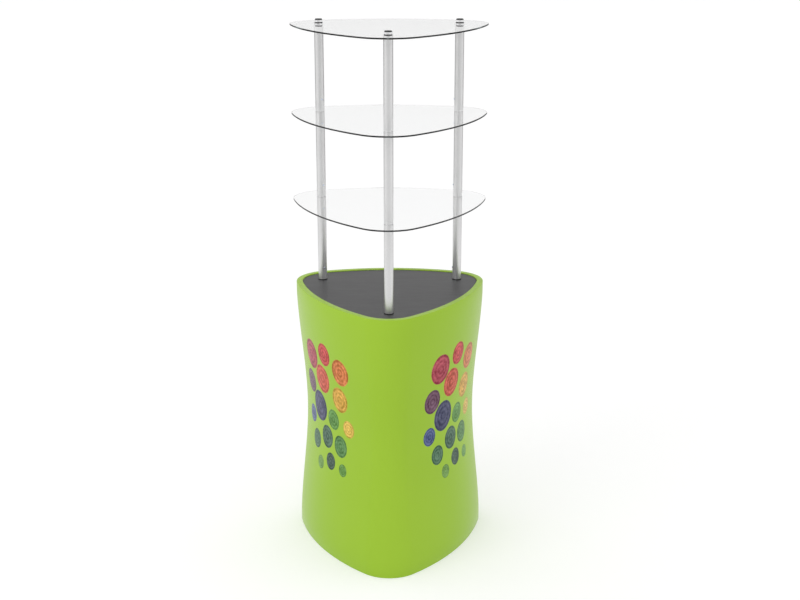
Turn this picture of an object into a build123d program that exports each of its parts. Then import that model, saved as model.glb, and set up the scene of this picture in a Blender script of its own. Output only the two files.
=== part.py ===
"""Three-cornered display tower: a stretched fabric base on a tube frame, three columns of
jointed poles and three clear shelves. Millimetres, +Z up. The origin is on the tower's axis at
the floor, and the front corner points along -Y."""

import os
from math import atan2, cos, degrees, radians, sin, sqrt

from build123d import *

os.makedirs("parts", exist_ok=True)

# Plan of the base, over the fabric
base_height = 900.0
base_corner_reach = 352.9  # from the tower's axis to a rounded corner
base_corner_radius = 123.6
base_side_radius = 742.0  # each side bows outwards

# Plan of the shelves
shelf_overhang = 5.2  # past the base at the corners
shelf_corner_radius = 122.8
shelf_side_radius = 765.0
shelf_thickness = 5.0

# Fabric cover
fabric_thickness = 0.8
fabric_gap = 0.2  # to the rings it is stretched over
hem_height = 14.8  # over the rings' edges
waist_depth = 30.0
crease_slope = 0.04  # how far the fabric leans in where it leaves a ring, per millimetre

# Rectangular tube of the two rings
ring_width = 19.0
ring_height = 40.0
ring_wall = 1.5
ring_edge_chamfer = 1.0  # outside only
ring_spigot_wall = 2.0
ring_spigot_length = 120.0

# Counter board
board_thickness = 18.0
board_recess = 2.0  # below the fabric rim
board_bevel = 1.5
board_gap = 0.4  # to the hem

# Corner gussets
gusset_thickness = 3.0
gusset_land = 43.0  # inwards past the pole's axis
gusset_flange_height = 18.0
gusset_flange_angle = 64.0
gusset_corner_radius = 10.0
bottom_gusset_height = 20.0
screw_angle = 22.0  # to each side of the corner
screw_diameter = 4.8
screw_length = 9.0
screw_head_diameter = 9.0
screw_head_height = 2.4

# Poles
pole_diameter = 30.0
pole_wall = 1.5
pole_inset = 84.4  # from the base's corner to the pole's axis
segment_length = 286.5
tiers = 3
foot_ring_thickness = 2.5
foot_ring_margin = 0.7  # past the pole all round

# Spigots inside the poles
spigot_wall = 1.4
spigot_tail = 60.0  # in the tube below
spigot_past_button = 20.0

# Snap buttons and their springs
button_height = 40.0  # above a segment's lower end
button_diameter = 6.0
button_stand_out = 2.0
button_edge_chamfer = 0.8
button_collar_diameter = 8.0
button_collar_thickness = 1.0
spring_thickness = 0.6
spring_width = 8.0
spring_drop = 25.0  # from the button to the bend
spring_tip = 6.0  # above the button

# Threaded plugs, bolts and screw caps
plug_length = 20.0
thread_diameter = 8.0
bolt_length = 22.0
bolt_head_across_flats = 13.0
bolt_head_height = 5.3
cap_diameter = 26.0
cap_washer_thickness = 1.5
cap_collar_height = 7.0
cap_collar_edge = 0.6
cap_recess_diameter = 18.0
cap_recess_depth = 4.0
cap_top_height = 4.5
cap_top_diameter = 24.0
cap_top_chamfer = 1.8
stud_reach = 15.0  # into the plug

# Zip at the foot of the rear side
zip_clear_of_ring = 11.2
zip_half_angle = 16.0
zip_width = 6.0
zip_thickness = 2.5
zip_stand_out = 0.5
slider_length = 12.0
slider_plate = 1.4
slider_lip = 1.4
slider_corner_radius = 1.2
slider_clear_angle = 0.8  # from the zip's end to the slider's middle
bridge_rise = 2.2
bridge_bar = 1.6
bridge_post = 1.2
pull_length = 30.0
pull_width = 5.0
pull_thickness = 1.2
pull_end_radius = 1.7
pull_eye_diameter = 4.4

# Clearances, each to one side
press_gap = 0.02
slip_gap = 0.1
hole_gap = 0.35
thread_gap = 0.05
slider_gap = 0.2
pull_gap = 0.3

corner_angles = {"front": 270.0, "right": 30.0, "left": 150.0}
rear_angle = 90.0
button_turn = 150.0  # a button points along the line to the next pole


def toward(angle):
    """Unit vector in plan at this angle."""
    return Vector(cos(radians(angle)), sin(radians(angle)), 0)


class Plan:
    """A three-cornered outline of tangent arcs, given at its outermost line."""

    def __init__(self, corner_reach, corner_radius, side_radius):
        self.corner_radius = corner_radius
        self.side_radius = side_radius
        self.corner_centre = corner_reach - corner_radius
        between = side_radius - corner_radius  # distance between the two arcs' centres
        across = self.corner_centre * sin(radians(60))
        self.side_centre = sqrt(between**2 - across**2) - self.corner_centre / 2
        self.side_half = degrees(atan2(across, self.corner_centre / 2 + self.side_centre))
        self.corner_half = 60 - self.side_half

    def corner(self, angle, half=None):
        """Arc round the corner at this angle: centre, radius, start and size."""
        half = half or self.corner_half
        return toward(angle) * self.corner_centre, self.corner_radius, angle - half, 2 * half

    def side(self, angle, start, size):
        """Arc along the side whose middle is at this angle."""
        return toward(angle) * -self.side_centre, self.side_radius, angle + start, size

    def around(self):
        """All six arcs in turn."""
        arcs = []
        for angle in corner_angles.values():
            arcs.append(self.corner(angle))
            arcs.append(self.side(angle + 60, -self.side_half, 2 * self.side_half))
        return arcs

    def third(self, angle):
        """The arcs of one corner and the half sides beside it."""
        return [
            self.side(angle - 60, 0, self.side_half),
            self.corner(angle),
            self.side(angle + 60, -self.side_half, self.side_half),
        ]

    def face(self, inset):
        """The outline as a face, moved inwards."""
        with BuildLine() as outline:
            for centre, radius, start, size in self.around():
                CenterArc(centre, radius - inset, start, size)
        make_face(outline.edges())


base_plan = Plan(base_corner_reach, base_corner_radius, base_side_radius)
shelf_plan = Plan(
    base_corner_reach + shelf_overhang, shelf_corner_radius, shelf_side_radius
)

# Insets from the base's outline
ring_outside = fabric_thickness + fabric_gap
ring_inside = ring_outside + ring_width
hem_outside = ring_inside + fabric_gap
hem_inside = hem_outside + fabric_thickness
board_inset = hem_inside + board_gap
flange_outside = ring_inside + slip_gap
flange_inside = flange_outside + gusset_thickness

# Heights
bottom_ring_base = ring_outside
bottom_ring_top = bottom_ring_base + ring_height
top_ring_top = base_height - ring_outside
top_ring_base = top_ring_top - ring_height
board_top = base_height - board_recess
board_base = board_top - board_thickness
top_gusset_base = board_base - gusset_thickness
upright_base = bottom_gusset_height + gusset_thickness
first_pole_base = board_top + foot_ring_thickness
tier_pitch = segment_length + shelf_thickness
shelf_top = first_pole_base + tiers * tier_pitch

# Round sizes
pole_circle = base_corner_reach - pole_inset
pole_radius = pole_diameter / 2
pole_bore = pole_radius - pole_wall
spigot_radius = pole_bore - slip_gap
spigot_bore = spigot_radius - spigot_wall
spigot_hole = spigot_radius + hole_gap
thread_radius = thread_diameter / 2
button_radius = button_diameter / 2


def segment_base(tier):
    """Lower end of a pole segment, with tier 0 the lowest."""
    return first_pole_base + tier * tier_pitch


def column_point(angle, height):
    """A point on a column's axis."""
    return toward(angle) * pole_circle + Vector(0, 0, height)


def column_plane(angle, height):
    """Level plane on a column's axis."""
    return Plane(column_point(angle, height), x_dir=toward(angle), z_dir=(0, 0, 1))


def button_plane(angle, tier):
    """Upright plane on the column's axis that faces the way the button points."""
    middle = column_point(angle, segment_base(tier) + button_height)
    return Plane(middle, x_dir=(0, 0, 1), z_dir=toward(angle + button_turn))


def revolve_along(arcs, draw_section):
    """Carries one section along a path of arcs. It is drawn at the arc's radius, with height up."""
    for centre, radius, start, size in arcs:
        outwards = toward(start)
        section_plane = Plane(centre, x_dir=outwards, z_dir=outwards.cross(Vector(0, 0, 1)))
        with BuildSketch(section_plane) as section:
            draw_section(radius)
        revolve(section.sketch, axis=Axis(centre, (0, 0, 1)), revolution_arc=size)


def finish(piece, name):
    """Labels a piece and writes it."""
    piece.part.label = name
    export_step(piece.part, f"parts/{name}.step")


# Fabric cover: one wall with a waist, turned over both rings and hemmed inside them
lower_edge = bottom_ring_top
upper_edge = top_ring_base
waist_height = (lower_edge + upper_edge) / 2
curve_half = (waist_height - lower_edge) / 2  # each curve is two arcs that meet halfway
crease_share = crease_slope * curve_half
curve_inset = waist_depth / 2 + crease_share / 4  # where the two arcs meet


def waist_curves(surface):
    """The wall from the upper ring down to the lower one, upright at the waist."""
    waist = (surface - waist_depth, waist_height)
    for edge, downwards in ((upper_edge, -1), (lower_edge, 1)):
        meeting = (surface - curve_inset, edge + downwards * curve_half)
        TangentArc((surface, edge), meeting, tangent=(-crease_slope, downwards))
        TangentArc(waist, meeting, tangent=(0, -downwards))


def cover_section(radius):
    """The fabric's own thickness, from hem to hem."""
    inner = radius - fabric_thickness
    tucked = radius - hem_outside
    hemmed = radius - hem_inside
    base_inside = fabric_thickness
    top_inside = base_height - fabric_thickness
    with BuildLine() as section:
        waist_curves(radius)
        Polyline(
            (radius, lower_edge),
            (radius, 0),
            (hemmed, 0),
            (hemmed, hem_height),
            (tucked, hem_height),
            (tucked, base_inside),
            (inner, base_inside),
            (inner, lower_edge),
        )
        waist_curves(inner)
        Polyline(
            (inner, upper_edge),
            (inner, top_inside),
            (tucked, top_inside),
            (tucked, base_height - hem_height),
            (hemmed, base_height - hem_height),
            (hemmed, base_height),
            (radius, base_height),
            (radius, upper_edge),
        )
    make_face(section.edges())


zip_height = bottom_ring_top + zip_clear_of_ring + zip_width / 2
zip_arc = [base_plan.side(rear_angle, -zip_half_angle, 2 * zip_half_angle)]


def zip_section(radius):
    """The closed chain, a little proud of the fabric."""
    middle = radius + zip_stand_out - zip_thickness / 2
    with Locations((middle, zip_height)):
        Rectangle(zip_thickness, zip_width)


with BuildPart() as zip_chain:
    revolve_along(zip_arc, zip_section)
finish(zip_chain, "zip_chain")

with BuildPart() as fabric_cover:
    revolve_along(base_plan.around(), cover_section)
    add(zip_chain.part, mode=Mode.SUBTRACT)
finish(fabric_cover, "fabric_cover")


# Zip slider: a channel over the chain, with a bridge that holds the pull
slider_angle = rear_angle + zip_half_angle - slider_clear_angle
slider_foot = toward(rear_angle) * -base_plan.side_centre + toward(slider_angle) * base_side_radius
chain_face = zip_stand_out  # outwards of the base's outline
plate_base = chain_face + slider_gap
plate_top = plate_base + slider_plate
bar_centre = plate_top + bridge_rise
channel_half = zip_width / 2 + slider_gap
slider_half = channel_half + slider_lip
pull_eye_half = pull_eye_diameter / 2


def slider_plane(outwards):
    """Tangent plane at the slider, its X along the zip and its Y up."""
    origin = slider_foot + toward(slider_angle) * outwards + Vector(0, 0, zip_height)
    return Plane(origin, x_dir=toward(slider_angle - 90), z_dir=toward(slider_angle))


with BuildPart() as zip_slider:
    with BuildSketch(slider_plane(0)):
        RectangleRounded(slider_length, 2 * slider_half, slider_corner_radius)
    extrude(amount=plate_top)
    with BuildSketch(slider_plane(0)):
        Rectangle(2 * slider_length, 2 * channel_half)
    extrude(amount=plate_base, mode=Mode.SUBTRACT)
    with BuildSketch(slider_plane(plate_top)):
        with GridLocations(0, 2 * (slider_half - bridge_post / 2), 1, 2):
            Rectangle(2 * bridge_bar, bridge_post)
    extrude(amount=bridge_rise + bridge_bar / 2)
    bar_plane = Plane(
        slider_plane(bar_centre).origin - Vector(0, 0, slider_half),
        x_dir=toward(slider_angle),
        z_dir=(0, 0, 1),
    )
    with BuildSketch(bar_plane):
        Circle(bridge_bar / 2)
    extrude(amount=2 * slider_half)
finish(zip_slider, "zip_slider")

with BuildPart() as zip_pull:
    eye_plane = Plane(
        slider_plane(bar_centre).origin,
        x_dir=toward(slider_angle - 90),
        z_dir=(0, 0, 1),
    )
    with BuildSketch(eye_plane):
        Circle(pull_eye_half)
        with Locations((pull_length / 2, 0)):
            Rectangle(pull_length, pull_thickness)
        Circle(bridge_bar / 2 + pull_gap, mode=Mode.SUBTRACT)
    extrude(amount=pull_width / 2, both=True)
    tip = zip_pull.faces().sort_by_distance(eye_plane.origin)[-1]
    fillet(tip.edges().filter_by(Axis.Z, reverse=True), pull_end_radius)
finish(zip_pull, "zip_pull")


# Counter board, dropped into the upper ring
with BuildPart() as counter_board:
    with BuildSketch(Plane.XY.offset(board_base)):
        base_plan.face(board_inset)
        with PolarLocations(pole_circle, len(corner_angles), corner_angles["right"]):
            Circle(spigot_hole, mode=Mode.SUBTRACT)
    extrude(amount=board_thickness)
    rim = counter_board.faces().sort_by(Axis.Z)[-1].outer_wire().edges()
    chamfer(rim, board_bevel)
finish(counter_board, "counter_board")


# Ring tubes, three bent lengths to a ring, butted at the middle of each side
def tube_section(width, height, wall, edge_chamfer, inset, middle):
    """Draws a rectangular tube whose middle is this far inside the path."""

    def draw(radius):
        with BuildSketch(mode=Mode.PRIVATE) as tube:
            outside = Rectangle(width, height)
            chamfer(outside.vertices(), edge_chamfer)
            Rectangle(width - 2 * wall, height - 2 * wall, mode=Mode.SUBTRACT)
        add(Pos(radius - inset, middle) * tube.sketch)

    return draw


ring_inset = ring_outside + ring_width / 2
flange_radius = base_corner_radius - flange_inside
top_screw_height = top_gusset_base - gusset_flange_height / 2
bottom_screw_height = upright_base + gusset_flange_height / 2
head_seat = screw_head_diameter**2 / 8 / flange_radius + press_gap  # flat head on a curved wall


def screw_planes(angle, height):
    """One plane at each screw's seat, facing outwards."""
    centre = toward(angle) * base_plan.corner_centre
    planes = []
    for turn in (-screw_angle, screw_angle):
        outwards = toward(angle + turn)
        seat = centre + outwards * (flange_radius - head_seat) + Vector(0, 0, height)
        planes.append(Plane(seat, x_dir=(0, 0, 1), z_dir=outwards))
    return planes


def drill_screw_holes(angle, height):
    """Clears the screws through whatever the block holds there."""
    for plane in screw_planes(angle, height):
        with BuildSketch(plane) as hole:
            Circle(screw_diameter / 2 + slip_gap)
        extrude(hole.sketch, amount=screw_length, mode=Mode.SUBTRACT)


for level, ring_base, screw_height in (
    ("bottom", bottom_ring_base, bottom_screw_height),
    ("top", top_ring_base, top_screw_height),
):
    ring_middle = ring_base + ring_height / 2
    ring_section = tube_section(
        ring_width, ring_height, ring_wall, ring_edge_chamfer, ring_inset, ring_middle
    )
    for side, angle in corner_angles.items():
        with BuildPart() as ring_tube:
            revolve_along(base_plan.third(angle), ring_section)
            drill_screw_holes(angle, screw_height)
        finish(ring_tube, f"{level}_ring_{side}")

    spigot_section = tube_section(
        ring_width - 2 * (ring_wall + slip_gap),
        ring_height - 2 * (ring_wall + slip_gap),
        ring_spigot_wall,
        ring_edge_chamfer,
        ring_inset,
        ring_middle,
    )
    spigot_turn = degrees(ring_spigot_length / base_side_radius)
    with BuildPart() as ring_spigots:
        for angle in corner_angles.values():
            joint_arc = base_plan.side(angle + 60, -spigot_turn / 2, spigot_turn)
            revolve_along([joint_arc], spigot_section)
    finish(ring_spigots, f"{level}_ring_spigots")


# Corner gussets: a plate across each corner, with a flange screwed to the ring
def gusset_plate(angle, height):
    """Plate of the corner's own outline, cut off square behind the pole."""
    inner_edge = pole_circle - gusset_land
    with BuildSketch(Plane.XY.offset(height)) as plate:
        base_plan.face(flange_outside)
        with Locations(toward(angle) * (inner_edge + base_corner_reach / 2)):
            Rectangle(
                base_corner_reach, 2 * base_corner_reach, rotation=angle, mode=Mode.INTERSECT
            )
        ends = plate.vertices().sort_by_distance(toward(angle) * base_corner_reach)[-2:]
        fillet(ends, gusset_corner_radius)
    extrude(plate.sketch, amount=gusset_thickness)


def gusset_flange(angle, middle):
    """Curved wall against the ring."""

    def draw(radius):
        with Locations((radius - flange_outside - gusset_thickness / 2, middle)):
            Rectangle(gusset_thickness, gusset_flange_height)

    revolve_along([base_plan.corner(angle, gusset_flange_angle / 2)], draw)


for level, plate_height, flange_middle, hole_radius in (
    ("bottom", bottom_gusset_height, bottom_screw_height, thread_radius + hole_gap),
    ("top", top_gusset_base, top_screw_height, spigot_hole),
):
    with BuildPart() as gussets:
        for angle in corner_angles.values():
            gusset_plate(angle, plate_height)
            gusset_flange(angle, flange_middle)
            drill_screw_holes(angle, flange_middle)
            with BuildSketch(column_plane(angle, plate_height)):
                Circle(hole_radius)
            extrude(amount=gusset_thickness, mode=Mode.SUBTRACT)
    finish(gussets, f"{level}_gussets")

with BuildPart() as gusset_screws:
    for angle in corner_angles.values():
        for height in (bottom_screw_height, top_screw_height):
            for plane in screw_planes(angle, height):
                with BuildSketch(plane):
                    Circle(screw_diameter / 2)
                extrude(amount=screw_length)
                with BuildSketch(plane):
                    Circle(screw_head_diameter / 2)
                extrude(amount=-screw_head_height)
finish(gusset_screws, "gusset_screws")


# Uprights under the poles, each closed below by a threaded plug and a bolt
for side, angle in corner_angles.items():
    with BuildPart() as upright:
        with BuildSketch(column_plane(angle, upright_base)):
            Circle(pole_radius)
            Circle(pole_bore, mode=Mode.SUBTRACT)
        extrude(amount=top_gusset_base - upright_base)
    finish(upright, f"upright_{side}")


def threaded_plugs(base):
    """A plug in each column, bored for the thread."""
    for angle in corner_angles.values():
        with BuildSketch(column_plane(angle, base)) as plug:
            Circle(pole_bore - press_gap)
            Circle(thread_radius + thread_gap, mode=Mode.SUBTRACT)
        extrude(plug.sketch, amount=plug_length)


with BuildPart() as upright_plugs:
    threaded_plugs(upright_base)
finish(upright_plugs, "upright_plugs")

with BuildPart() as pole_top_plugs:
    threaded_plugs(shelf_top - shelf_thickness - plug_length)
finish(pole_top_plugs, "pole_top_plugs")

with BuildPart() as upright_bolts:
    for angle in corner_angles.values():
        with BuildSketch(column_plane(angle, bottom_gusset_height)):
            Circle(thread_radius)
        extrude(amount=bolt_length)
        with BuildSketch(column_plane(angle, bottom_gusset_height)):
            RegularPolygon(bolt_head_across_flats / 2, 6, major_radius=False)
        extrude(amount=-bolt_head_height)
finish(upright_bolts, "upright_bolts")

with BuildPart() as pole_foot_rings:
    for angle in corner_angles.values():
        with BuildSketch(column_plane(angle, board_top)):
            Circle(pole_radius + foot_ring_margin)
            Circle(spigot_hole, mode=Mode.SUBTRACT)
        extrude(amount=foot_ring_thickness)
finish(pole_foot_rings, "pole_foot_rings")


# Pole segments, each with a hole for the button in its lower end
def drill_button_hole(angle, tier):
    """Hole through the near wall alone."""
    with BuildSketch(button_plane(angle, tier)) as hole:
        Circle(button_radius + slip_gap)
    extrude(hole.sketch, amount=pole_diameter, mode=Mode.SUBTRACT)


tier_names = ("lower", "middle", "upper")
for side, angle in corner_angles.items():
    for tier in range(tiers):
        with BuildPart() as pole:
            with BuildSketch(column_plane(angle, segment_base(tier))):
                Circle(pole_radius)
                Circle(pole_bore, mode=Mode.SUBTRACT)
            extrude(amount=segment_length)
            drill_button_hole(angle, tier)
        finish(pole, f"{tier_names[tier]}_pole_{side}")


# Spigots: each is fixed in the tube below and carries a button for the segment above
for tier in range(tiers):
    tube_below = segment_base(tier) - shelf_thickness if tier else top_gusset_base
    spigot_base = tube_below - spigot_tail
    spigot_top = segment_base(tier) + button_height + spigot_past_button
    with BuildPart() as spigots:
        for angle in corner_angles.values():
            with BuildSketch(column_plane(angle, spigot_base)):
                Circle(spigot_radius)
                Circle(spigot_bore, mode=Mode.SUBTRACT)
            extrude(amount=spigot_top - spigot_base)
            drill_button_hole(angle, tier)
    finish(spigots, f"{tier_names[tier]}_spigots")


# Snap buttons: a pin through both walls, with a collar that stops it inside the spigot
collar_corner = button_collar_diameter / 2
collar_face = sqrt((spigot_bore - slip_gap) ** 2 - collar_corner**2)  # its rim just clears the bore
button_seat = collar_face - button_collar_thickness
button_tip = pole_radius + button_stand_out

for side, angle in corner_angles.items():
    for tier in range(tiers):
        with BuildPart() as button:
            with BuildSketch(button_plane(angle, tier).offset(button_seat)):
                Circle(collar_corner)
            extrude(amount=button_collar_thickness)
            with BuildSketch(button_plane(angle, tier).offset(button_seat)):
                Circle(button_radius)
            extrude(amount=button_tip - button_seat)
            tip = button.faces().sort_by_distance(button_plane(angle, tier).origin)[-1]
            chamfer(tip.edges(), button_edge_chamfer)
        finish(button, f"{tier_names[tier]}_button_{side}")


# Button springs: a strip bent to a U, one leg behind the button and one against the bore
far_leg = sqrt((spigot_bore - slip_gap) ** 2 - (spring_width / 2) ** 2)
bend_outer = (button_seat + far_leg) / 2
bend_centre = (button_seat - far_leg) / 2
leg_length = spring_drop + spring_tip

for side, angle in corner_angles.items():
    with BuildPart() as springs:
        for tier in range(tiers):
            facing = toward(angle + button_turn)
            middle = column_point(angle, segment_base(tier) + button_height)
            strip_plane = Plane(middle, x_dir=facing, z_dir=facing.cross(Vector(0, 0, 1)))
            with BuildSketch(strip_plane):
                with Locations((bend_centre, -spring_drop)):
                    Circle(bend_outer)
                    Circle(bend_outer - spring_thickness, mode=Mode.SUBTRACT)
                    Rectangle(
                        2 * bend_outer,
                        bend_outer,
                        align=(Align.CENTER, Align.MIN),
                        mode=Mode.SUBTRACT,
                    )
                with Locations((button_seat, -spring_drop)):
                    Rectangle(spring_thickness, leg_length, align=(Align.MAX, Align.MIN))
                with Locations((-far_leg, -spring_drop)):
                    Rectangle(spring_thickness, leg_length, align=(Align.MIN, Align.MIN))
            extrude(amount=spring_width / 2, both=True)
    finish(springs, f"button_springs_{side}")


# Shelves: the lower two are threaded on the spigots, the top one is held by the caps' studs
for tier in range(tiers):
    top_shelf = tier == tiers - 1
    with BuildPart() as shelf:
        with BuildSketch(Plane.XY.offset(segment_base(tier) + segment_length)):
            shelf_plan.face(0)
            with PolarLocations(pole_circle, len(corner_angles), corner_angles["right"]):
                Circle(
                    thread_radius + hole_gap if top_shelf else spigot_hole,
                    mode=Mode.SUBTRACT,
                )
        extrude(amount=shelf_thickness)
    finish(shelf, f"{tier_names[tier]}_shelf")


# Screw caps over the top shelf: washer, metal collar on a stud, and a plastic top
collar_base = shelf_top + cap_washer_thickness
collar_top = collar_base + cap_collar_height
stud_length = cap_washer_thickness + shelf_thickness + stud_reach

for side, angle in corner_angles.items():
    with BuildPart() as washer:
        with BuildSketch(column_plane(angle, shelf_top)):
            Circle(cap_diameter / 2)
            Circle(thread_radius + hole_gap, mode=Mode.SUBTRACT)
        extrude(amount=cap_washer_thickness)
    finish(washer, f"cap_washer_{side}")

    with BuildPart() as collar:
        with BuildSketch(column_plane(angle, collar_base)):
            Circle(cap_diameter / 2)
        extrude(amount=cap_collar_height)
        chamfer(collar.edges(), cap_collar_edge)
        with BuildSketch(column_plane(angle, collar_top)):
            Circle(cap_recess_diameter / 2)
        extrude(amount=-cap_recess_depth, mode=Mode.SUBTRACT)
        with BuildSketch(column_plane(angle, collar_base)):
            Circle(thread_radius)
        extrude(amount=-stud_length)
    finish(collar, f"cap_collar_{side}")

    with BuildPart() as cap_top:
        with BuildSketch(column_plane(angle, collar_top)):
            Circle(cap_top_diameter / 2)
        extrude(amount=cap_top_height)
        chamfer(cap_top.edges().sort_by(Axis.Z)[-1], cap_top_chamfer)
        with BuildSketch(column_plane(angle, collar_top)):
            Circle(cap_recess_diameter / 2 - press_gap)
        extrude(amount=-(cap_recess_depth - slip_gap))
    finish(cap_top, f"cap_top_{side}")
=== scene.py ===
import math

import bmesh
import bpy
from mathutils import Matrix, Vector


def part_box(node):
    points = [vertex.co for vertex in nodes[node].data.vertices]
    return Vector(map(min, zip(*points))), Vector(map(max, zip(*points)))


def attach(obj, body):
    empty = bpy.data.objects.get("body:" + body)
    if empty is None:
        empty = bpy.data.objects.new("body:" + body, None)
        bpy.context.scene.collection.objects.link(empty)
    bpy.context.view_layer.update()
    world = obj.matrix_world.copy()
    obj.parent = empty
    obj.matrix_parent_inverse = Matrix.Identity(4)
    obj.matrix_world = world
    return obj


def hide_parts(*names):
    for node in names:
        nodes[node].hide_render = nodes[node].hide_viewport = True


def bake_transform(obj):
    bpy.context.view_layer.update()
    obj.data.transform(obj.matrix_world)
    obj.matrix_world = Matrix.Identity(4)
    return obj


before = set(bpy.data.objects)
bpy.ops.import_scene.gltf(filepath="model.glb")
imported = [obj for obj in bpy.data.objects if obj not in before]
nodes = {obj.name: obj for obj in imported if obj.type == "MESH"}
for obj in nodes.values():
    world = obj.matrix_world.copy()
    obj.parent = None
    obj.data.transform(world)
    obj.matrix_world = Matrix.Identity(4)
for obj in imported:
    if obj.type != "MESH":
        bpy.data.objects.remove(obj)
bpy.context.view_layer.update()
mm = 0.001
white = (1, 1, 1)
scene = bpy.context.scene
scene.view_settings.view_transform = "Standard"
sides = {"left": 150, "front": 270, "right": 30}  # angle of each corner, seen from above
cornerToSide = 60  # degrees from a corner to the middle of the next side
tiers = ["lower", "middle", "upper"]
mergeDistance = 0.005 * mm  # points of a piece that lie nearer than this become one
print("frame loaded:", len(nodes), "nodes")


# One output of a node, which takes part in plain arithmetic.
class Wire:
    def __init__(self, bench, socket):
        self.bench = bench
        self.socket = socket

    def output(self, name):
        return Wire(self.bench, self.socket.node.outputs[name])

    def maths(self, operation, *others):
        return self.bench.node("ShaderNodeMath", {"operation": operation}, [self, *others])

    def __add__(self, other):
        return self.maths("ADD", other)

    def __sub__(self, other):
        return self.maths("SUBTRACT", other)

    def __rsub__(self, other):
        return self.bench.node("ShaderNodeMath", {"operation": "SUBTRACT"}, [other, self])

    def __mul__(self, other):
        return self.maths("MULTIPLY", other)

    def __truediv__(self, other):
        return self.maths("DIVIDE", other)

    __radd__ = __add__
    __rmul__ = __mul__


# A node tree, of a shader or of Geometry Nodes, and the one way that nodes are put in it.
class Bench:
    def __init__(self, tree):
        self.tree = tree

    def node(self, kind, settings=None, inputs=None, output=0):
        made = self.tree.nodes.new(kind)
        for name, value in (settings or {}).items():
            if name == "stops":
                self.setStops(made.color_ramp, value)
            else:
                setattr(made, name, value)
        pairs = inputs.items() if isinstance(inputs, dict) else enumerate(inputs or [])
        for name, value in pairs:
            if isinstance(value, Wire):
                self.tree.links.new(value.socket, made.inputs[name])
            elif value is not None:
                made.inputs[name].default_value = value
        return Wire(self, made.outputs[output] if made.outputs else made.inputs[0])

    def setStops(self, ramp, stops):
        while len(ramp.elements) < len(stops):
            ramp.elements.new(0.5)
        for element, (place, colour) in zip(ramp.elements, stops):
            element.position = place
            element.color = (*colour, 1.0)


def asColour(value):
    return value if isinstance(value, Wire) else (*value, 1.0)


def mixColour(bench, amount, first, second):
    sockets = {0: amount, 6: asColour(first), 7: asColour(second)}
    return bench.node("ShaderNodeMix", {"data_type": "RGBA"}, sockets, output=2)


def fromScreen(red, green, blue):  # 0 to 255 as a screen shows it, to a linear colour
    def channel(value):
        value /= 255
        return value / 12.92 if value <= 0.04045 else ((value + 0.055) / 1.055) ** 2.4

    return tuple(channel(value) for value in (red, green, blue))


def shade(colour, factor):
    return tuple(channel * factor for channel in colour)


def mixed(first, second, amount):
    return tuple(a + (b - a) * amount for a, b in zip(first, second))


def grey(level):
    return (level,) * 3


# A material with its Principled shader ready. paint(bench) returns that shader's sockets.
def makeMaterial(name, paint, absorption=None):
    material = bpy.data.materials.new(name)
    material.use_nodes = True
    material.node_tree.nodes.clear()
    bench = Bench(material.node_tree)
    surface = bench.node("ShaderNodeBsdfPrincipled", {}, paint(bench))
    sockets = {"Surface": surface}
    if absorption:
        sockets["Volume"] = bench.node("ShaderNodeVolumeAbsorption", {}, absorption)
    bench.node("ShaderNodeOutputMaterial", {}, sockets)
    return material


def objectPlace(bench):
    return bench.node("ShaderNodeTexCoord", output="Object")


def stretched(bench, where, scale):
    return bench.node("ShaderNodeMapping", {}, {"Vector": where, "Scale": scale})


def noise(bench, where, scale, detail=2.0, roughness=0.5):
    sockets = {"Vector": where, "Scale": scale, "Detail": detail, "Roughness": roughness}
    return bench.node("ShaderNodeTexNoise", {}, sockets)


def between(bench, value, low, high):  # a value of 0 to 1, as one of low to high
    sockets = {"Value": value, "To Min": low, "To Max": high}
    return bench.node("ShaderNodeMapRange", {}, sockets)


def bumped(bench, height, strength, distance):
    sockets = {"Strength": strength, "Distance": distance, "Height": height}
    return bench.node("ShaderNodeBump", {}, sockets)


# The camera stands where the photograph was taken from.
viewpoint = {
    "lens": 60.8,
    "sensor": 36,
    "place": (0.03556, -4.3871, 2.1861),
    "tilt": 1.2775,  # radians up from straight down
    "farthest": 100,
}

cameraData = bpy.data.cameras.new("camera")
cameraData.lens = viewpoint["lens"]
cameraData.sensor_width = viewpoint["sensor"]
cameraData.clip_end = viewpoint["farthest"]
camera = bpy.data.objects.new("camera", cameraData)
camera.location = viewpoint["place"]
camera.rotation_euler = (viewpoint["tilt"], 0, 0)
scene.collection.objects.link(camera)
scene.camera = camera
print("camera placed")


# Plans of the base and the shelves: three corner arcs and three side arcs, tangent to each other
basePlan = {
    "cornerRadius": 123.6 * mm,
    "sideRadius": 742 * mm,
    "cornerSteps": 24,
    "sideSteps": 24,
}
shelfPlan = {
    "cornerRadius": 122.8 * mm,
    "sideRadius": 765 * mm,
    "cornerSteps": 30,
    "sideSteps": 30,
}


def heading(angle):
    return Vector((math.cos(math.radians(angle)), math.sin(math.radians(angle)), 0))


# Every arc of a plan in turn, anticlockwise from the rear: centre, radius, start, size and steps
def planArcs(plan, node):
    reach = -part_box(node)[0][1]
    cornerCentre = reach - plan["cornerRadius"]
    across = cornerCentre * math.sin(math.radians(cornerToSide))
    apart = plan["sideRadius"] - plan["cornerRadius"]
    sideCentre = math.sqrt(apart**2 - across**2) - cornerCentre / 2
    sideHalf = math.degrees(math.atan2(across, cornerCentre / 2 + sideCentre))
    cornerHalf = cornerToSide - sideHalf
    arcs = []
    for angle in sides.values():
        corner = heading(angle) * cornerCentre
        side = heading(angle + cornerToSide) * -sideCentre
        arcs.append((corner, plan["cornerRadius"], angle - cornerHalf,
                     2 * cornerHalf, plan["cornerSteps"]))
        arcs.append((side, plan["sideRadius"], angle + cornerHalf,
                     2 * sideHalf, plan["sideSteps"]))
    return arcs


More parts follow.
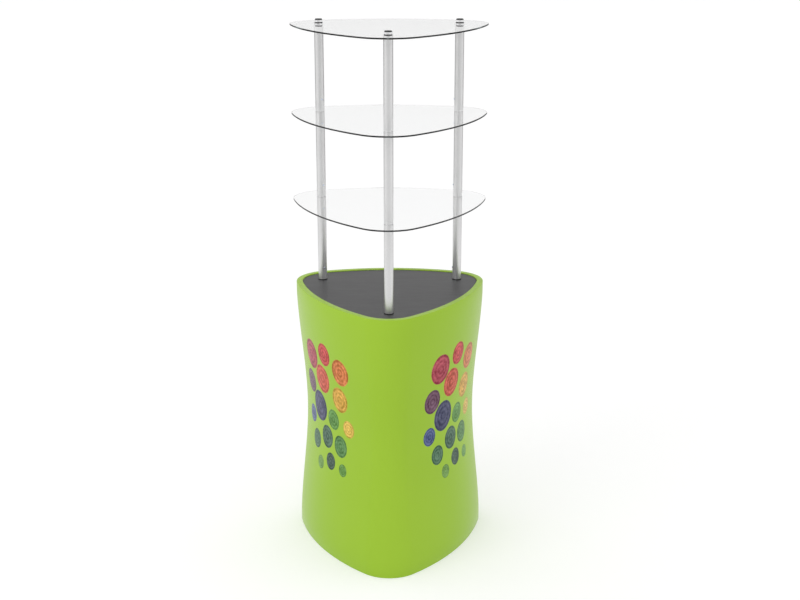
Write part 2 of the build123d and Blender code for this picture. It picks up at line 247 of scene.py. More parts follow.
# Points of a closed outline, with the way outwards and the length so far at each
def outlinePoints(arcs):
    points, ways, lengths, length = [], [], [], 0.0
    for centre, radius, start, size, steps in arcs:
        for step in range(steps):
            outwards = heading(start + size * step / steps)
            points.append(centre + outwards * radius)
            ways.append(outwards)
            lengths.append(length)
            length += radius * math.radians(size) / steps
    return points, ways, lengths, length


# A line of points with values on them, for a Geometry Nodes tree to read
def lineObject(name, points, values=None):
    mesh = bpy.data.meshes.new(name)
    mesh.from_pydata(points, [(i, i + 1) for i in range(len(points) - 1)], [])
    for label, (kind, field, numbers) in (values or {}).items():
        mesh.attributes.new(label, kind, "POINT").data.foreach_set(field, numbers)
    made = bpy.data.objects.new(name, mesh)
    scene.collection.objects.link(made)
    return made


# A Geometry Nodes tree with named inputs. build(bench, inputs) returns the finished shape.
def makeTool(name, sizes, build):
    tree = bpy.data.node_groups.new(name, "GeometryNodeTree")
    tree.interface.new_socket("Geometry", in_out="INPUT", socket_type="NodeSocketGeometry")
    for label, kind in sizes.items():
        tree.interface.new_socket(label, in_out="INPUT", socket_type="NodeSocket" + kind)
    tree.interface.new_socket("Geometry", in_out="OUTPUT", socket_type="NodeSocketGeometry")
    bench = Bench(tree)
    entry = bench.node("NodeGroupInput")
    inputs = {label: entry.output(label) for label in sizes}
    shape = bench.node("GeometryNodeRealizeInstances", {}, [build(bench, inputs)])
    finish = {"Geometry": shape, "Material": inputs["Material"]}
    shape = bench.node("GeometryNodeSetMaterial", {}, finish)
    bench.node("NodeGroupOutput", {}, [shape])
    return tree


# Runs a tool with these values and keeps the result as a plain mesh piece.
def runTool(tool, pieceName, values, spare=()):
    host = lineObject(pieceName + "Host", [(0, 0, 0), (0, 0, mm)])
    modifier = host.modifiers.new("tool", "NODES")
    modifier.node_group = tool
    for item in tool.interface.items_tree:
        if item.in_out == "INPUT" and item.name in values:
            modifier[item.identifier] = values[item.name]
    bpy.context.view_layer.update()
    evaluated = host.evaluated_get(bpy.context.evaluated_depsgraph_get())
    mesh = bpy.data.meshes.new_from_object(evaluated)
    for helper in (host, *spare):
        bpy.data.objects.remove(helper)
    return addPiece(pieceName, mesh)


def addPiece(pieceName, mesh, material=None):
    mesh.name = pieceName
    piece = bpy.data.objects.new(pieceName, mesh)
    scene.collection.objects.link(piece)
    if material:
        mesh.materials.append(material)
    return piece


def weldOutwards(piece):
    cleaner = bmesh.new()
    cleaner.from_mesh(piece.data)
    bmesh.ops.remove_doubles(cleaner, verts=cleaner.verts, dist=mergeDistance)
    bmesh.ops.recalc_face_normals(cleaner, faces=cleaner.faces)
    cleaner.to_mesh(piece.data)
    cleaner.free()


def smooth(piece, angle=30):
    piece.data.shade_smooth()
    piece.data.set_sharp_from_angle(angle=math.radians(angle))


def mount(piece, body, slot, *replaced):
    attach(piece, body)
    if replaced:
        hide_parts(*replaced)


# Fabric cover: one stretched sleeve with a waist, turned over both rings and hemmed inside
cover = {
    "thickness": 0.8 * mm,
    "rim": 21 * mm,  # width of the flat top, over the ring
    "hem": 14.8 * mm,
    "edgeRadius": 1.4 * mm,
    "ring": 41 * mm,  # height of each ring under the fabric
    "waist": 30 * mm,
    "crease": 0.04,  # lean of the fabric as it leaves a ring
    "wallSteps": 26,
    "edgeSteps": 4,
    "seam": 0.01 * mm,  # the sleeve's two ends meet within this
    "sharpFrom": 40,  # degrees
    "flat": (1.92, 0.95),  # cut about 3% small, so that it stretches
    "green": fromScreen(162, 200, 58),
    "deepGreen": fromScreen(154, 192, 52),
    "greenPatches": 2.3,  # about this many patches to a metre
    "fuzz": 900.0,
    "knitPitch": 1.0 * mm,
    "knitDepth": 0.04 * mm,
    "roughness": (0.24, 0.34),
    "refraction": 1.25,  # a dull knit, which still shines at a low angle
}


# The outer face of the fabric from the upper hem to the lower one, as inset and height
def coverSection(top):
    rim, hem, radius = cover["rim"], cover["hem"], cover["edgeRadius"]
    half = top / 2 - cover["ring"]
    upper = [(rim, top - hem)]
    for inset, start in ((rim - radius, 0), (radius, 90)):
        for step in range(cover["edgeSteps"] + 1):
            turn = math.radians(start + 90 * step / cover["edgeSteps"])
            upper.append((inset + radius * math.cos(turn), top - radius + radius * math.sin(turn)))
    for step in range(cover["wallSteps"] + 1):
        share = step / cover["wallSteps"]
        lean = cover["crease"] * half * share * (1 - share) ** 2
        inset = cover["waist"] * (3 - 2 * share) * share**2 + lean
        upper.append((inset, top - cover["ring"] - half * share))
    lower = [(inset, top - height) for inset, height in reversed(upper[:-1])]
    return upper + lower


def buildCover(bench, inputs):
    def readOther(label, field, index, kind="FLOAT_VECTOR"):
        shape = bench.node("GeometryNodeObjectInfo", {}, {"Object": inputs[label]}, "Geometry")
        settings = {"data_type": kind, "domain": "POINT"}
        return bench.node("GeometryNodeSampleIndex", settings,
                          {"Geometry": shape, "Value": field, "Index": index})

    def named(label, kind):
        return bench.node("GeometryNodeInputNamedAttribute", {"data_type": kind}, {"Name": label})

    columns, rows = inputs["Columns"], inputs["Rows"]
    grid = bench.node("GeometryNodeMeshGrid", {}, {"Vertices X": columns + 1, "Vertices Y": rows})
    number = bench.node("GeometryNodeInputIndex")
    column = ((number + 0.5) / rows).maths("FLOOR")
    row = number - column * rows
    turn = ((column + 0.5) / columns).maths("FLOOR")
    column = column - turn * columns
    place = bench.node("GeometryNodeInputPosition")
    foot = readOther("Outline", place, column)
    outwards = readOther("Outline", named("outwards", "FLOAT_VECTOR"), column)
    around = readOther("Outline", named("around", "FLOAT"), column, "FLOAT")
    profile = bench.node("ShaderNodeSeparateXYZ", {}, [readOther("Section", place, row)])
    along = readOther("Section", named("along", "FLOAT"), row, "FLOAT")
    moved = bench.node("ShaderNodeVectorMath", {"operation": "SCALE"},
                       {"Vector": outwards, "Scale": profile.output("X") * -1})
    lifted = bench.node("ShaderNodeCombineXYZ", {}, {"Z": profile.output("Z")})
    moved = bench.node("ShaderNodeVectorMath", {"operation": "ADD"}, [moved, lifted])
    moved = bench.node("ShaderNodeVectorMath", {"operation": "ADD"}, [moved, foot])
    shape = bench.node("GeometryNodeSetPosition", {}, {"Geometry": grid, "Position": moved})
    cloth = bench.node("ShaderNodeCombineXYZ", {},
                       {"X": around + turn * inputs["Perimeter"], "Y": along})
    shape = bench.node("GeometryNodeStoreNamedAttribute",
                       {"data_type": "FLOAT_VECTOR", "domain": "POINT"},
                       {"Geometry": shape, "Name": "spread", "Value": cloth})
    spread = named("spread", "FLOAT_VECTOR")
    shape = bench.node("GeometryNodeStoreNamedAttribute",
                       {"data_type": "FLOAT2", "domain": "CORNER"},
                       {"Geometry": shape, "Name": "cloth", "Value": spread})
    return bench.node("GeometryNodeMergeByDistance", {},
                      {"Geometry": shape, "Distance": cover["seam"]})


# Printed design: round spots in a loose drift, the same on each side of the base
spotPrint = {
    "centre": 500 * mm,  # above the foot, along the cloth
    "speckle": 110.0,
    "clouds": 26.0,
    "ragged": 0.06,  # how far clouds push a spot's edge, in parts of its radius
    "softness": 0.02,
    "bands": 19,  # of a spot's rings: radians of a wave from its middle to its edge
    "bandDepth": 0.22,
    "dark": 0.4,  # the darkest part of a spot against its colour
    "light": 0.1,  # white in the lightest part
    "spots": [  # across and up from the side's middle, radius, and colour as a screen shows it
        (-96, 186, 52, (196, 30, 66)),
        (12, 214, 40, (226, 44, 36)),
        (108, 176, 46, (240, 128, 28)),
        (-18, 118, 50, (232, 78, 30)),
        (92, 74, 44, (246, 186, 32)),
        (-128, 78, 42, (112, 52, 92)),
        (-58, 8, 54, (44, 50, 104)),
        (42, -12, 36, (92, 164, 40)),
        (134, -20, 30, (250, 206, 66)),
        (-136, -46, 32, (70, 92, 156)),
        (-4, -88, 40, (46, 104, 70)),
        (86, -96, 38, (72, 142, 46)),
        (-92, -124, 34, (60, 118, 76)),
        (26, -168, 30, (36, 84, 58)),
        (104, -176, 22, (104, 170, 50)),
        (-48, -196, 24, (120, 176, 60)),
    ],
}


def paintFabric(bench):
    cloth = bench.node("ShaderNodeUVMap", {"uv_map": "cloth"})
    split = bench.node("ShaderNodeSeparateXYZ", {}, [cloth])
    around, up = split.output("X"), split.output("Y")
    third = perimeter / 3
    sideMiddle = (lengths[basePlan["cornerSteps"]] + third) / 2  # the cloth starts at a corner
    across = around.maths("SUBTRACT", sideMiddle).maths("WRAP", third / 2, -third / 2)
    above = up - spotPrint["centre"]
    local = bench.node("ShaderNodeCombineXYZ", {}, {"X": across, "Y": above})
    where = objectPlace(bench)
    broad = noise(bench, where, cover["greenPatches"])
    colour = mixColour(bench, broad, cover["deepGreen"], cover["green"])
    mottle = noise(bench, cloth, spotPrint["speckle"], 3.0, 0.65)
    clouds = noise(bench, cloth, spotPrint["clouds"], 3.0, 0.6)
    tone = (mottle - 0.5) * 1.5 + (clouds - 0.5) * 1.7
    for x, y, radius, screen in spotPrint["spots"]:
        middle = (x * mm, y * mm, 0)
        distance = bench.node("ShaderNodeVectorMath", {"operation": "DISTANCE"},
                              [local, middle], output="Value")
        share = distance / (radius * mm) + (clouds - 0.5) * spotPrint["ragged"]
        edge = {"Value": share, "From Min": 1 + spotPrint["softness"],
                "From Max": 1 - spotPrint["softness"]}
        inside = bench.node("ShaderNodeMapRange", {"interpolation_type": "SMOOTHSTEP"}, edge)
        bands = (share * spotPrint["bands"]).maths("SINE") * spotPrint["bandDepth"]
        dark = shade(fromScreen(*screen), spotPrint["dark"])
        light = mixed(fromScreen(*screen), white, spotPrint["light"])
        amount = (tone + bands + 0.45).maths("MINIMUM", 1.0).maths("MAXIMUM", 0.0)
        fill = mixColour(bench, amount, dark, light)
        colour = mixColour(bench, inside, colour, fill)
    turns = 2 * math.pi / cover["knitPitch"]  # the knit: ribs upwards, crossed by slanting loops
    rib = (across * turns).maths("SINE")
    loops = (up * (turns * 0.7) + rib * 0.8).maths("SINE")
    knit = rib.maths("ABSOLUTE") * 0.6 + loops * 0.4
    fuzz = noise(bench, where, cover["fuzz"], 1.0)
    return {
        "Base Color": colour,
        "Roughness": between(bench, fuzz, *cover["roughness"]),
        "IOR": cover["refraction"],
        "Normal": bumped(bench, knit + fuzz * 0.5, 0.3, cover["knitDepth"]),
    }


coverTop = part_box("fabric_cover")[1][2]
sectionPoints = coverSection(coverTop)
alongCloth, length = [], 0.0
for point, after in zip(sectionPoints, sectionPoints[1:] + [sectionPoints[-1]]):
    alongCloth.append(length)
    length += math.dist(point, after)
clothFoot = length - cover["hem"] - cover["rim"]  # where the wall meets the floor
alongCloth = [clothFoot - value for value in alongCloth]
points, ways, lengths, perimeter = outlinePoints(planArcs(basePlan, "fabric_cover"))
coverOutline = lineObject("coverOutline", points, {
    "outwards": ("FLOAT_VECTOR", "vector", [x for way in ways for x in way]),
    "around": ("FLOAT", "value", lengths),
})
coverProfile = lineObject("coverProfile", [(inset, 0, height) for inset, height in sectionPoints],
                          {"along": ("FLOAT", "value", alongCloth)})
fabric = makeMaterial("stretchFabric", paintFabric)
coverTool = makeTool("coverTool", {
    "Outline": "Object", "Section": "Object", "Columns": "Int", "Rows": "Int",
    "Perimeter": "Float", "Material": "Material",
}, buildCover)
fabricCover = runTool(coverTool, "fabricCover", {
    "Outline": coverOutline, "Section": coverProfile, "Columns": len(points),
    "Rows": len(sectionPoints), "Perimeter": perimeter, "Material": fabric,
}, [coverOutline, coverProfile])
weldOutwards(fabricCover)
smooth(fabricCover, cover["sharpFrom"])
wall = fabricCover.modifiers.new("wall", "SOLIDIFY")
wall.thickness = cover["thickness"]
wall.offset = -1
mount(fabricCover, "tower", "stretch_fabric", "fabric_cover")
ringNames = [f"{level}_ring_{side}" for level in ("bottom", "top") for side in sides]
print("fabric cover made, perimeter", round(perimeter, 4))


# Clear shelves: polished plates with holes for the spigots, or in the top one for the caps' studs
shelf = {
    "edge": 0.35 * mm,  # polished round at the edges
    "edgeSteps": 3,
    "holeSteps": 48,
    "sharpFrom": 10,  # degrees
    "poleCircle": 268.5 * mm,
    "spigotHole": 13.75 * mm,
    "studHole": 4.35 * mm,
    "absorption": 3.4,  # per metre, which darkens the edges
    "absorptionTint": (0.55, 0.62, 0.62, 1),
    # painted shade: the plates' upright edge faces get this darker colour, standing in for how dark
    # their edges look
    "paintedEdgeShade": (0.45, 0.48, 0.48),
    "refraction": 1.49,
    "rubScale": 14.0,
    "rubStretch": (40, 9, 40),  # cloth marks run from front to back
    "rubbed": 0.03,  # roughness where it is rubbed most
}


def plateFromOutline(pieceName, node, material, outline, holeRadius, edge):
    low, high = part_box(node)
    curve = bpy.data.curves.new(pieceName, "CURVE")
    curve.dimensions = "2D"
    curve.fill_mode = "BOTH"
    curve.extrude = (high[2] - low[2]) / 2 - edge
    curve.bevel_depth = edge
    curve.bevel_resolution = shelf["edgeSteps"]
    curve.offset = -edge
    rings = [outline]
    turn = 360 / shelf["holeSteps"]
    for angle in sides.values():
        middle = heading(angle) * shelf["poleCircle"]
        rings.append([middle + heading(-turn * step) * holeRadius
                      for step in range(shelf["holeSteps"])])
    for ring in rings:
        spline = curve.splines.new("POLY")
        spline.points.add(len(ring) - 1)
        for point, place in zip(spline.points, ring):
            point.co = (place[0], place[1], 0, 1)
        spline.use_cyclic_u = True
    host = bpy.data.objects.new(pieceName + "Curve", curve)
    scene.collection.objects.link(host)
    bpy.context.view_layer.update()
    evaluated = host.evaluated_get(bpy.context.evaluated_depsgraph_get())
    mesh = bpy.data.meshes.new_from_object(evaluated)
    bpy.data.objects.remove(host)
    for vertex in mesh.vertices:
        vertex.co.z += (low[2] + high[2]) / 2
    mesh.materials.clear()
    piece = addPiece(pieceName, mesh, material)
    weldOutwards(piece)
    smooth(piece, shelf["sharpFrom"])
    return piece


def paintAcrylic(bench):
    where = objectPlace(bench)
    rub = noise(bench, stretched(bench, where, shelf["rubStretch"]), shelf["rubScale"], 4.0, 0.7)
    rubbed = {"Value": rub, "From Min": 0.6, "From Max": 0.8,
              "To Min": 0.0, "To Max": shelf["rubbed"]}
    # painted shade: the base colour darkens as a face turns upright, so the edges are painted dark
    facing = bench.node("ShaderNodeNewGeometry", output="Normal")
    level = bench.node("ShaderNodeSeparateXYZ", {}, [facing]).output("Z").maths("ABSOLUTE")
    return {
        "Base Color": mixColour(bench, level, shelf["paintedEdgeShade"], white),
        "Transmission Weight": 1.0,
        "IOR": shelf["refraction"],
        "Roughness": bench.node("ShaderNodeMapRange", {}, rubbed),
    }


acrylic = makeMaterial("clearAcrylic", paintAcrylic,
                       {"Color": shelf["absorptionTint"], "Density": shelf["absorption"]})
shelfOutline = outlinePoints(planArcs(shelfPlan, "lower_shelf"))[0]
for tier in tiers:
    holeRadius = shelf["studHole"] if tier == "upper" else shelf["spigotHole"]
    plate = plateFromOutline(tier + "Shelf", tier + "_shelf", acrylic, shelfOutline,
                             holeRadius, shelf["edge"])
    mount(plate, "tower", "clear_acrylic", tier + "_shelf")
print("shelves made")


# Metals: drawn or plated, with faint lines along Z, and stained in broad patches and fine specks
metalFinish = {"lines": 12.0, "patches": 7.0, "specks": 420.0, "patchShare": 0.4}


def metal(name, colour, roughness, lines=(90, 90, 1.5), spread=0.08, stain=0.06, depth=0.01):
    def paint(bench):
        where = objectPlace(bench)
        drawn = noise(bench, stretched(bench, where, lines), metalFinish["lines"], 4.0, 0.7)
        patches = noise(bench, where, metalFinish["patches"], 3.0, 0.6)
        specks = noise(bench, where, metalFinish["specks"])
        stains = patches * metalFinish["patchShare"] + specks * (1 - metalFinish["patchShare"])
        dark, pale = shade(colour, 1 - stain), shade(colour, 1 + stain / 2)
        return {
            "Base Color": mixColour(bench, stains, dark, pale),
            "Metallic": 1.0,
            "Roughness": between(bench, drawn, roughness - spread, roughness + spread),
            "Normal": bumped(bench, drawn, 0.25, depth * mm),
        }

    return makeMaterial(name, paint)


# Plastics and rubber: a moulded grain, and wear that dulls it in places
wear = {"patches": 24.0, "dark": 0.85, "pale": 1.25, "polished": 0.07, "dulled": 0.09}


def moulded(name, colour, roughness, grain=900.0, depth=0.02, coat=0.0):
    def paint(bench):
        where = objectPlace(bench)
        fine = noise(bench, where, grain, 2.0, 0.6)
        worn = noise(bench, where, wear["patches"], 4.0, 0.65)
        dark, pale = shade(colour, wear["dark"]), shade(colour, wear["pale"])
        smoothest, roughest = roughness - wear["polished"], roughness + wear["dulled"]
        return {
            "Base Color": mixColour(bench, worn, dark, pale),
            "Roughness": between(bench, worn, smoothest, roughest),
            "Coat Weight": coat,
            "Normal": bumped(bench, fine, 0.3, depth * mm),
        }

    return makeMaterial(name, paint)


# Counter board: black laminate with a fine pressed grain and faint wiping marks
board = {
    "colour": (0.022, 0.022, 0.023),
    "roughness": (0.31, 0.44),
    "refraction": 1.42,
    "grain": 1400.0,
    "grainDepth": 0.02 * mm,
    "wiping": (3, 14, 3),  # stretches the marks from side to side
}


def paintBoard(bench):
    where = objectPlace(bench)
    grain = noise(bench, where, board["grain"], 3.0, 0.7)
    wiped = noise(bench, stretched(bench, where, board["wiping"]), 3.0, 5.0, 0.7)
    colour = mixColour(bench, wiped, shade(board["colour"], 0.88), shade(board["colour"], 1.1))
    return {
        "Base Color": mixColour(bench, grain, shade(board["colour"], 0.8), colour),
        "Roughness": between(bench, wiped, *board["roughness"]),
        "IOR": board["refraction"],
        "Normal": bumped(bench, grain, 0.3, board["grainDepth"]),
    }


laminate = makeMaterial("blackLaminate", paintBoard)
poleAluminium = metal("poleAluminium", (0.82, 0.82, 0.82), 0.36, stain=0.3)
ringAluminium = metal("ringAluminium", (0.62, 0.63, 0.64), 0.36, lines=(60, 60, 40))
spigotAluminium = metal("spigotAluminium", (0.6, 0.6, 0.62), 0.3)
zincPlate = metal("zincPlate", (0.56, 0.56, 0.55), 0.38, lines=(30, 30, 30), stain=0.18)
buttonSteel = metal("buttonSteel", (0.62, 0.68, 0.78), 0.2, lines=(40, 40, 40))
springSteel = metal("springSteel", (0.2, 0.21, 0.24), 0.3, stain=0.25)
brightMetal = metal("brightMetal", (0.86, 0.86, 0.87), 0.14, lines=(200, 200, 20), depth=0.004)
zipMetal = metal("zipMetal", (0.5, 0.51, 0.5), 0.3, lines=(60, 60, 60), stain=0.12)
rubber = moulded("blackRubber", (0.02, 0.02, 0.02), 0.62, 1500.0, 0.03)
plugPlastic = moulded("plugPlastic", (0.03, 0.03, 0.03), 0.5)
capPlastic = moulded("capPlastic", (0.012, 0.012, 0.013), 0.24, 600.0, 0.004, 0.3)


def dress(material, *names):
    for name in names:
        piece = nodes[name]
        if not piece.material_slots:
            piece.data.materials.append(material)
        for place in piece.material_slots:
            place.material = material


dress(laminate, "counter_board")
dress(ringAluminium, *ringNames, "bottom_ring_spigots", "top_ring_spigots")
dress(zincPlate, "bottom_gussets", "top_gussets", "gusset_screws", "upright_bolts")
dress(spigotAluminium, *[tier + "_spigots" for tier in tiers])
dress(plugPlastic, "upright_plugs", "pole_top_plugs")
dress(rubber, "pole_foot_rings", *["cap_washer_" + side for side in sides])
for side in sides:
    dress(poleAluminium, "upright_" + side, *[f"{tier}_pole_{side}" for tier in tiers])
    dress(buttonSteel, *[f"{tier}_button_{side}" for tier in tiers])
    dress(brightMetal, "cap_collar_" + side)
dress(zipMetal, "zip_slider", "zip_pull")


# Button springs: one piece to a spring, cut from its corner's springs near the height of its button
buttonSpring = {
    "reach": 60 * mm,  # a spring's parts lie nearer than this to the height of its button
    "strip": 0.7 * mm,
    "pointing": 150,  # degrees from a corner's own angle to where its buttons point
}

for side, angle in sides.items():
    for tier in tiers:
        button = f"{tier}_button_{side}"
        low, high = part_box(button)
        middle = (low[2] + high[2]) / 2
        strip = bmesh.new()
        strip.from_mesh(nodes["button_springs_" + side].data)
        others = [v for v in strip.verts if abs(v.co.z - middle) > buttonSpring["reach"]]
        bmesh.ops.delete(strip, geom=others, context="VERTS")
        mesh = bpy.data.meshes.new("spring")
        strip.to_mesh(mesh)
        strip.free()
        spring = addPiece(f"spring.{tier}.{side}", mesh, springSteel)
        weldOutwards(spring)
        smooth(spring)
        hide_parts("button_springs_" + side)
        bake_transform(spring)
print("frame, poles and fittings finished")


# Screw caps: a moulded top with a rounded shoulder, a shallow dish and a spigot in the collar
capTop = {
    "radius": 12 * mm,
    "neck": 8.98 * mm,  # radius of the part in the collar
    "foot": 0.3 * mm,  # the bevel above the collar
    "shoulder": 2.2 * mm,
    "shoulderSteps": 8,
    "dish": 0.35 * mm,
    "dishRadius": 8.5 * mm,
    "dishEdge": 0.5 * mm,
    "steps": 64,
    "sharpFrom": 35,  # degrees
}


def turned(pieceName, profile, centre, steps, material):
    mesh = bpy.data.meshes.new(pieceName)
    lathe = bmesh.new()
    rings = []
    for radius, height in profile:
        if radius == 0:
            rings.append([lathe.verts.new((centre[0], centre[1], height))])
            continue
        ring = []
        for step in range(steps):
            way = heading(360 * step / steps) * radius
            ring.append(lathe.verts.new((centre[0] + way.x, centre[1] + way.y, height)))
        rings.append(ring)
    for low, high in zip(rings, rings[1:]):
        for i in range(steps):
            j = (i + 1) % steps
            corners = [low[i % len(low)], low[j % len(low)],
                       high[j % len(high)], high[i % len(high)]]
            lathe.faces.new(list(dict.fromkeys(corners)))
    lathe.to_mesh(mesh)
    lathe.free()
    piece = addPiece(pieceName, mesh, material)
    weldOutwards(piece)
    smooth(piece, capTop["sharpFrom"])
    return piece


for side in sides:
    low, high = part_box("cap_top_" + side)
    centre = ((low[0] + high[0]) / 2, (low[1] + high[1]) / 2)
    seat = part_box("cap_collar_" + side)[1][2]
    top, shoulder = high[2], capTop["shoulder"]
    dishFloor = top - capTop["dish"]
    profile = [(0, low[2]), (capTop["neck"], low[2]), (capTop["neck"], seat),
               (capTop["radius"] - capTop["foot"], seat), (capTop["radius"], seat + capTop["foot"])]
    for step in range(capTop["shoulderSteps"] + 1):
        turn = math.radians(90 * step / capTop["shoulderSteps"])
        profile.append((capTop["radius"] - shoulder + shoulder * math.cos(turn),
                        top - shoulder + shoulder * math.sin(turn)))
    profile += [(capTop["dishRadius"], top),
                (capTop["dishRadius"] - capTop["dishEdge"], dishFloor), (0, dishFloor)]
    knob = turned("capTop." + side, profile, centre, capTop["steps"], capPlastic)
    mount(knob, "screw_cap_" + side, "cap_plastic", "cap_top_" + side)
print("screw caps made")


# Zip: two rows of moulded teeth that mesh over a woven tape
zipChain = {
    "pitch": 2.4 * mm,
    "height": 55.2 * mm,
    "rowGap": 1.15 * mm,  # a row's teeth from the chain's middle
    "tooth": (0.95 * mm, 0.5 * mm, 1.55 * mm),  # half sizes: outwards, along and up
    "standOut": 0.5 * mm,  # beyond the fabric
    "halfAngle": 16,
    "tapeIn": 1.2 * mm,
    "tapeRows": 7,
    "tapeSpacing": 0.96 * mm,
    "tapeWeave": 1900.0,
    "tapeDepth": 0.1 * mm,
    "sharpFrom": 60,  # degrees
}


def buildZip(bench, inputs):
    count = inputs["Teeth"]
    number = bench.node("GeometryNodeInputIndex")
    angle = inputs["Start"] + (number + 0.5) * inputs["Step"]
    odd = number.maths("MODULO", 2)
    radius = inputs["Radius"]
    height = inputs["Height"] + (odd - 0.5) * 2 * inputs["Row"]
    place = bench.node("ShaderNodeCombineXYZ", {}, {
        "X": angle.maths("COSINE") * radius, "Y": angle.maths("SINE") * radius + inputs["Centre"],
        "Z": height})
    points = bench.node("GeometryNodePoints", {}, {"Count": count, "Position": place})
    tooth = bench.node("GeometryNodeMeshUVSphere", {}, {"Segments": 8, "Rings": 5, "Radius": 1.0})
    facing = bench.node("ShaderNodeCombineXYZ", {}, {"Z": angle})
    teeth = bench.node("GeometryNodeInstanceOnPoints", {}, {
        "Points": points, "Instance": tooth, "Rotation": facing, "Scale": inputs["Tooth"]})
    rows = zipChain["tapeRows"]
    ribbon = bench.node("GeometryNodeMeshGrid", {}, {"Vertices X": count, "Vertices Y": rows})
    column = ((number + 0.5) / rows).maths("FLOOR")
    row = number - column * rows
    bend = inputs["Start"] + (column + 0.5) * inputs["Step"]
    sunk = radius - inputs["Sunk"]
    place = bench.node("ShaderNodeCombineXYZ", {}, {
        "X": bend.maths("COSINE") * sunk, "Y": bend.maths("SINE") * sunk + inputs["Centre"],
        "Z": inputs["Height"] + (row - rows // 2) * zipChain["tapeSpacing"]})
    ribbon = bench.node("GeometryNodeSetPosition", {}, {"Geometry": ribbon, "Position": place})
    joined = bench.tree.nodes.new("GeometryNodeJoinGeometry")
    for shape in (ribbon, teeth):
        bench.tree.links.new(shape.socket, joined.inputs[0])
    return Wire(bench, joined.outputs[0])


def paintZip(bench):
    where = objectPlace(bench)
    weave = noise(bench, stretched(bench, where, (1, 1, 0.5)), zipChain["tapeWeave"], 1.0)
    worn = noise(bench, where, 60.0, 3.0)
    dark, pale = shade(cover["deepGreen"], 0.55), shade(cover["deepGreen"], 0.8)
    return {
        "Base Color": mixColour(bench, worn, dark, pale),
        "Roughness": between(bench, weave, 0.35, 0.6),
        "Normal": bumped(bench, weave, 0.5, zipChain["tapeDepth"]),
    }


zipTool = makeTool("zipTool", {
    "Teeth": "Int", "Start": "Float", "Step": "Float", "Radius": "Float", "Height": "Float",
    "Row": "Float", "Centre": "Float", "Sunk": "Float", "Tooth": "Vector", "Material": "Material",
}, buildZip)
sideRadius = basePlan["sideRadius"]
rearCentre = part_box("fabric_cover")[1][1] - sideRadius
zipAngle = 2 * math.radians(zipChain["halfAngle"])
teeth = int(zipAngle * sideRadius / zipChain["pitch"] * 2)  # of both rows
start = math.radians(90 - zipChain["halfAngle"])
zipTeeth = runTool(zipTool, "zipChain", {
    "Teeth": teeth, "Start": start, "Step": zipAngle / teeth,
    "Radius": sideRadius + zipChain["standOut"] - zipChain["tooth"][0],
    "Height": zipChain["height"], "Row": zipChain["rowGap"], "Centre": rearCentre,
    "Sunk": zipChain["tapeIn"], "Tooth": zipChain["tooth"],
    "Material": makeMaterial("zipNylon", paintZip),
})
smooth(zipTeeth, zipChain["sharpFrom"])
mount(zipTeeth, "tower", "zip_nylon", "zip_chain")
print("zip made,", teeth, "teeth")


# Floor, lights and surroundings, which aren't part of the object
studio = {
    "floor": 0.9,
    "floorSeen": 0.8,
    "floorLift": 0.26,  # light of its own, where the camera sees it
    "floorReach": 40,
    "mirroredFloor": [(0.1, 0.74), (0.3, 0.98), (0.62, 0.98), (0.78, 0.3)],  # front to rear
    "sky": 0.93,
    "mirroredSky": [(0.0, 0.66), (0.08, 0.76), (0.2, 1), (0.72, 0.96), (1.0, 0.84)],
    "key": 26.0,
    "keySize": 2.4,
    "keyPlace": (-2.4, -2.2, 3.6),
    "keyAim": (0, 0, 0.9),
}


def greyStops(levels):
    return [(place, grey(level)) for place, level in levels]


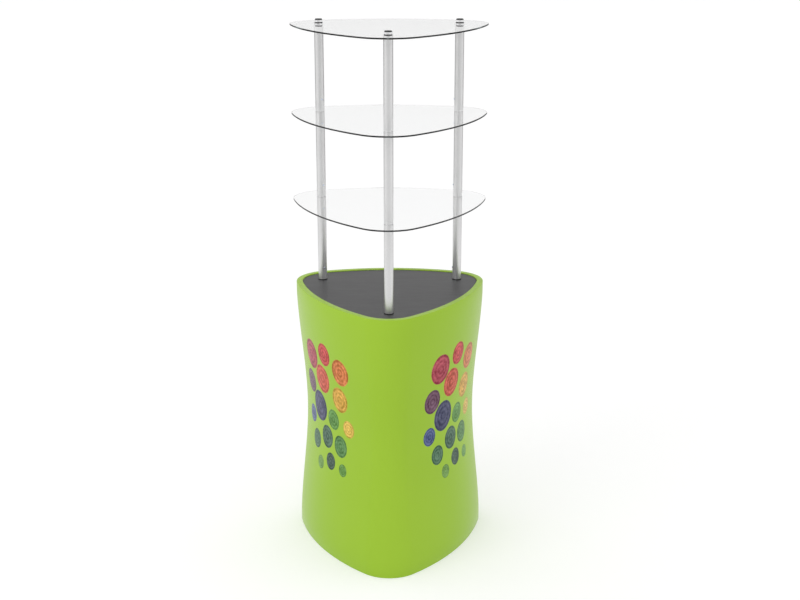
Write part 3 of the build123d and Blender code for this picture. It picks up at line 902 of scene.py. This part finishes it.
def buildFloor(bench):
    where = objectPlace(bench)
    path = bench.node("ShaderNodeLightPath")
    seenPlain = path.output("Is Camera Ray").maths("MAXIMUM", path.output("Is Transmission Ray"))
    colour = mixColour(bench, seenPlain, grey(studio["floor"]), grey(studio["floorSeen"]))
    surface = bench.node("ShaderNodeBsdfPrincipled", {},
                         {"Base Color": colour, "Roughness": 0.9, "Specular IOR Level": 0.1})
    glow = bench.node("ShaderNodeEmission", {},
                      {"Color": asColour(white), "Strength": seenPlain * studio["floorLift"]})
    both = bench.node("ShaderNodeAddShader", {}, [surface, glow])
    depth = bench.node("ShaderNodeSeparateXYZ", {}, [where]).output("Y") * 0.05 + 0.5  # over 20 m
    tone = bench.node("ShaderNodeValToRGB", {"stops": greyStops(studio["mirroredFloor"])}, [depth])
    mirrored = bench.node("ShaderNodeEmission", {}, [tone])
    onlyMirrored = path.output("Is Glossy Ray") - path.output("Is Transmission Ray")
    seen = bench.node("ShaderNodeMixShader", {}, [onlyMirrored, both, mirrored])
    bench.node("ShaderNodeOutputMaterial", {}, {"Surface": seen})


floorMaterial = bpy.data.materials.new("paleFloor")
floorMaterial.use_nodes = True
floorMaterial.node_tree.nodes.clear()
buildFloor(Bench(floorMaterial.node_tree))
floorMesh = bpy.data.meshes.new("floor")
reach = studio["floorReach"]
floorCorners = [(-reach, -reach, 0), (reach, -reach, 0), (reach, reach, 0), (-reach, reach, 0)]
floorMesh.from_pydata(floorCorners, [], [(0, 1, 2, 3)])
floor = addPiece("floor", floorMesh, floorMaterial)

world = bpy.data.worlds.new("studio")
scene.world = world
world.use_nodes = True
world.node_tree.nodes.clear()
bench = Bench(world.node_tree)
path = bench.node("ShaderNodeLightPath")
direction = bench.node("ShaderNodeTexCoord", output="Generated")
depth = bench.node("ShaderNodeSeparateXYZ", {}, [direction]).output("Y") * 0.5 + 0.5
mirrored = bench.node("ShaderNodeValToRGB", {"stops": greyStops(studio["mirroredSky"])}, [depth])
around = mixColour(bench, path.output("Is Glossy Ray"), grey(studio["sky"]), mirrored)
seenPlain = path.output("Is Camera Ray").maths("MAXIMUM", path.output("Is Transmission Ray"))
around = mixColour(bench, seenPlain, around, white)
bench.node("ShaderNodeOutputWorld", {}, [bench.node("ShaderNodeBackground", {}, [around])])

keyData = bpy.data.lights.new("key", "AREA")
keyData.shape = "DISK"
keyData.size = studio["keySize"]
keyData.energy = studio["key"]
key = bpy.data.objects.new("key", keyData)
key.location = studio["keyPlace"]
aim = Vector(studio["keyAim"]) - key.location
key.rotation_euler = aim.to_track_quat("-Z", "Y").to_euler()
scene.collection.objects.link(key)
print("floor and lights placed")
